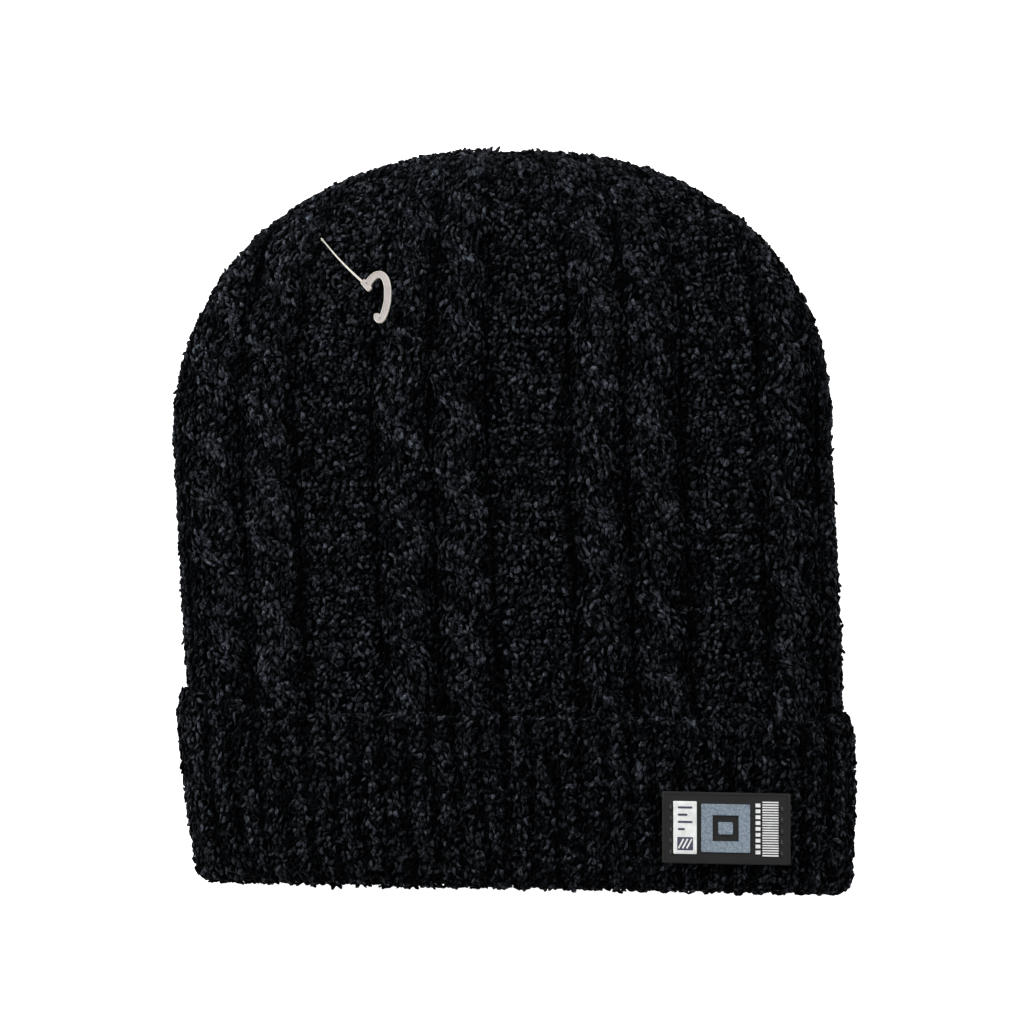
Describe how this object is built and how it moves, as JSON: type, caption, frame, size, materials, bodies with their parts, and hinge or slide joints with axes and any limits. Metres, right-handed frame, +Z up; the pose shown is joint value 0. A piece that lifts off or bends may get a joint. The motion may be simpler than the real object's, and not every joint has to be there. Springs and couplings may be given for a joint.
{
  "type": "knit beanie",
  "caption": "Chunky cable-knit beanie lying flat, with a turned-up rib cuff, a fleece lining, a rubber cuff label and a hook-shaped nylon tag pin.",
  "frame": {"origin": "middle of the footprint, on the surface that the hat lies on", "axes": "+Z up out of the front of the hat, +Y towards the crown, +X to the right as the front is looked at"},
  "size_m": [0.2184, 0.2382, 0.0486],
  "materials": {
    "chenille_yarn": "matte",
    "fleece_lining": "matte",
    "sewing_thread": "matte",
    "label_rubber": "matte",
    "label_white": "matte",
    "label_silver": "satin",
    "clear_nylon": "satin"
  },
  "bodies": {
    "hat": {"knit_body": "chenille_yarn", "knit_cuff": "chenille_yarn", "crown_gather_yarn": "chenille_yarn", "lining_front_right": "fleece_lining", "lining_front_left": "fleece_lining", "lining_back_left": "fleece_lining", "lining_back_right": "fleece_lining", "lining_edge_stitch": "sewing_thread", "label_stitch_left": "sewing_thread", "label_stitch_right": "sewing_thread", "label_patch": "label_rubber", "label_emblem": "label_silver", "label_panel": "label_white", "label_ladder": "label_white"},
    "tag_pivot": {"tag_pin_anchor_bar": "clear_nylon"},
    "tag_hook": {"tag_pin_hook": "clear_nylon"}
  },
  "joints": [
    {"name": "tag_swing", "type": "hinge", "parent": "hat", "child": "tag_pivot", "pos_m": [-0.06161, 0.09008, 0.03557], "axis": [-0.1489, 0.2243, 0.9631], "continuous": true},
    {"name": "tag_lift", "type": "hinge", "parent": "tag_pivot", "child": "tag_hook", "pos_m": [-0.06191, 0.09052, 0.0375], "axis": [-0.7306, -0.6813, 0.0457], "range_deg": [0, 90]}
  ]
}
